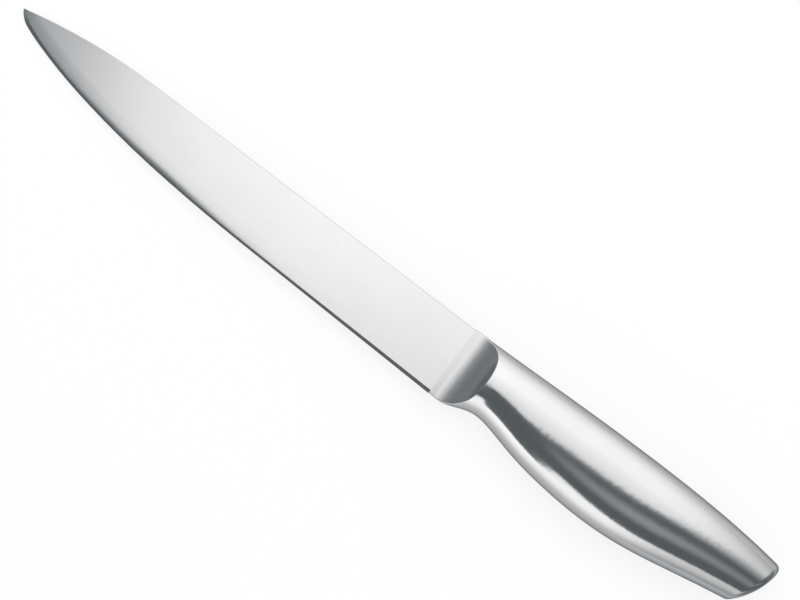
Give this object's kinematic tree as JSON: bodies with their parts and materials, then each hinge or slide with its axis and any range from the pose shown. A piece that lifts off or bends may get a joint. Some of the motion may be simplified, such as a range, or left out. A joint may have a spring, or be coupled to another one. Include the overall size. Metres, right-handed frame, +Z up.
{
  "type": "carving knife",
  "caption": "Carving knife, all in satin steel: a long slim blade with a gently curved edge, a scooped bolster and a hollow oval handle with a rounded butt.",
  "frame": {"origin": "centre of the bounding box's base: the knife lies on its right side as on a table, which its tip and the swell of its handle touch", "axes": "+X along the knife from the tip towards the butt, +Y across the blade towards its back, +Z up, on the blade's left side"},
  "size_m": [0.3366, 0.033, 0.0218],
  "materials": {
    "blade_steel": "fine satin grind, almost mirror-like along the blade",
    "handle_steel": "satin polish with soft reflections"
  },
  "bodies": {
    "root": {"blade": "blade_steel", "bolster": "handle_steel", "handle_shell_left": "handle_steel", "handle_shell_right": "handle_steel", "end_cap": "handle_steel"}
  },
  "joints": []
}
